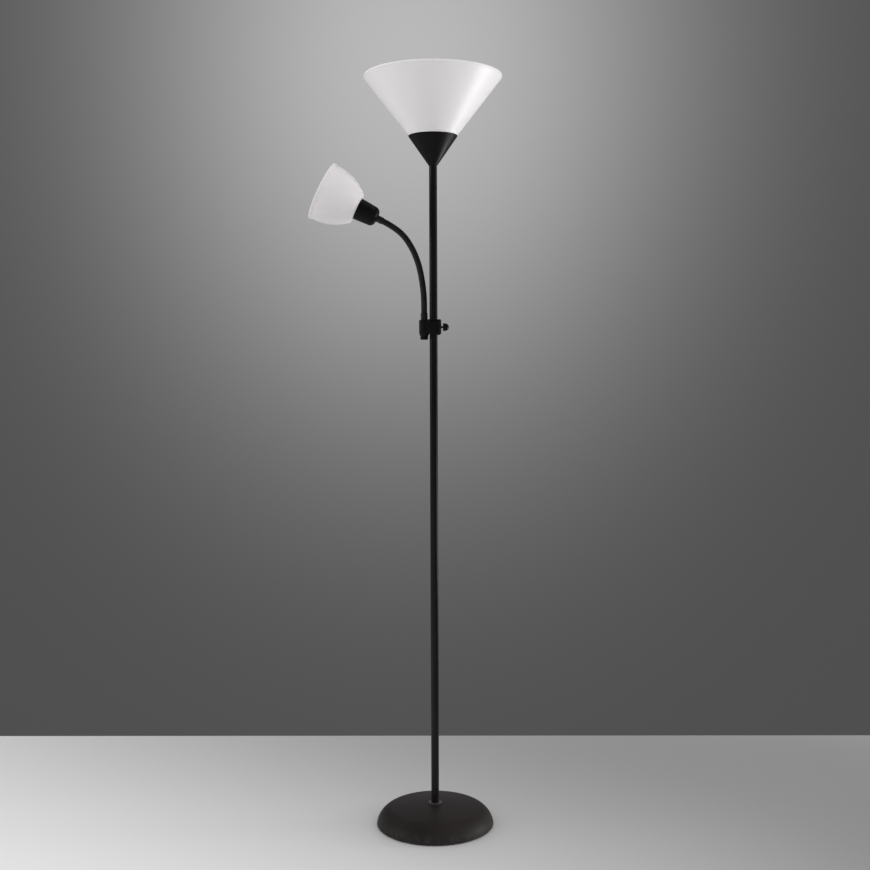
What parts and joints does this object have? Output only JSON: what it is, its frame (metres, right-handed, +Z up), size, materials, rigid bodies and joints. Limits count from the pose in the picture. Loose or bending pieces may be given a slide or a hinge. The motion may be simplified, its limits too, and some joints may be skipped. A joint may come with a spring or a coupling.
{
  "type": "torchiere floor lamp with reading light",
  "caption": "Floor lamp with an upward cone shade on a straight pole, a bell-shaped reading light on a flexible arm, a rotary switch and a weighted dome base.",
  "frame": {"origin": "on the floor, on the axis of the pole", "axes": "+Z up along the pole, -X towards the reading light, +X towards the switch knob, -Y towards the viewer of the picture"},
  "size_m": [0.4593, 0.327, 1.8],
  "materials": {
    "base_paint": "satin charcoal powder coat",
    "cast_weight": "cast cement, rough",
    "foam_pad": "thin black foam pad",
    "grommet_rubber": "black rubber",
    "pole_paint": "satin black paint on steel tube",
    "zinc_steel": "zinc-plated steel",
    "black_plastic": "satin black moulded plastic",
    "blackened_steel": "black lacquered steel",
    "neck_cover": "black ribbed sleeve of the gooseneck",
    "wire_insulation": "insulated wire",
    "socket_moulding": "black phenolic moulding",
    "socket_brass": "plain brass",
    "milky_plastic": "milky white translucent plastic, satin",
    "bulb_cap_metal": "nickel-plated cap",
    "opal_glass": "opal white envelope"
  },
  "bodies": {
    "stand": {"base_cover": "base_paint", "base_weight": "cast_weight", "base_pad": "foam_pad", "base_collar": "base_paint", "base_pipe": "zinc_steel", "pipe_washers": "zinc_steel", "pipe_nuts": "zinc_steel", "cord_grommet": "grommet_rubber", "pole_lower": "pole_paint", "pole_middle": "pole_paint", "pole_upper": "pole_paint", "pole_end_bushes": "zinc_steel", "pole_joint_bush": "zinc_steel", "pole_end_rings": "zinc_steel", "housing_front": "black_plastic", "housing_back": "black_plastic", "housing_screws": "zinc_steel", "switch_body": "socket_moulding", "supply_wires": "wire_insulation", "upper_wires": "wire_insulation", "neck_feed_wires": "wire_insulation", "neck_end_cap": "black_plastic", "top_cup": "black_plastic", "cup_pipe": "zinc_steel", "main_socket_body": "socket_moulding", "main_socket_shell": "socket_brass", "main_socket_contact": "socket_brass", "main_shade_ring": "socket_moulding", "main_shade": "milky_plastic", "main_bulb_cap": "bulb_cap_metal", "main_bulb_globe": "opal_glass"},
    "knob": {"switch_shaft": "blackened_steel", "switch_knob": "black_plastic"},
    "neck_base": {"neck_foot": "blackened_steel", "neck_washer": "zinc_steel", "neck_nut": "zinc_steel", "neck_tube_foot": "neck_cover", "neck_wires_foot": "wire_insulation"},
    "neck_link_1": {"neck_tube_1": "neck_cover", "neck_wires_1": "wire_insulation"},
    "neck_link_2": {"neck_tube_2": "neck_cover", "neck_wires_2": "wire_insulation"},
    "neck_link_3": {"neck_tube_3": "neck_cover", "neck_wires_3": "wire_insulation"},
    "neck_link_4": {"neck_tube_4": "neck_cover", "neck_wires_4": "wire_insulation"},
    "reading_head": {"neck_tube_head": "neck_cover", "neck_wires_head": "wire_insulation", "head_ferrule": "blackened_steel", "head_nut": "zinc_steel", "head_cup": "black_plastic", "head_socket_body": "socket_moulding", "head_socket_shell": "socket_brass", "head_socket_contact": "socket_brass", "head_shade_ring": "socket_moulding", "reading_shade": "milky_plastic", "reading_bulb_cap": "bulb_cap_metal", "reading_bulb_globe": "opal_glass"}
  },
  "joints": [
    {"name": "switch_turn", "type": "hinge", "parent": "stand", "child": "knob", "pos_m": [0.0185, 0, 1.2105], "axis": [1, 0, 0], "continuous": true},
    {"name": "neck_swivel", "type": "hinge", "parent": "stand", "child": "neck_base", "pos_m": [-0.0223, 0, 1.2275], "axis": [0, 0, 1], "range_deg": [-110, 110]},
    {"name": "neck_bend_1", "type": "hinge", "parent": "neck_base", "child": "neck_link_1", "pos_m": [-0.02457, 0, 1.30191], "axis": [0, -1, 0], "range_deg": [-15, 20]},
    {"name": "neck_bend_2", "type": "hinge", "parent": "neck_link_1", "child": "neck_link_2", "pos_m": [-0.03082, 0, 1.34141], "axis": [0, -1, 0], "range_deg": [-15, 20]},
    {"name": "neck_bend_3", "type": "hinge", "parent": "neck_link_2", "child": "neck_link_3", "pos_m": [-0.04233, 0, 1.37966], "axis": [0, -1, 0], "range_deg": [-20, 20]},
    {"name": "neck_bend_4", "type": "hinge", "parent": "neck_link_3", "child": "neck_link_4", "pos_m": [-0.06108, 0, 1.41491], "axis": [0, -1, 0], "range_deg": [-25, 20]},
    {"name": "neck_bend_5", "type": "hinge", "parent": "neck_link_4", "child": "reading_head", "pos_m": [-0.08734, 0, 1.44211], "axis": [0, -1, 0], "range_deg": [-25, 20]}
  ]
}
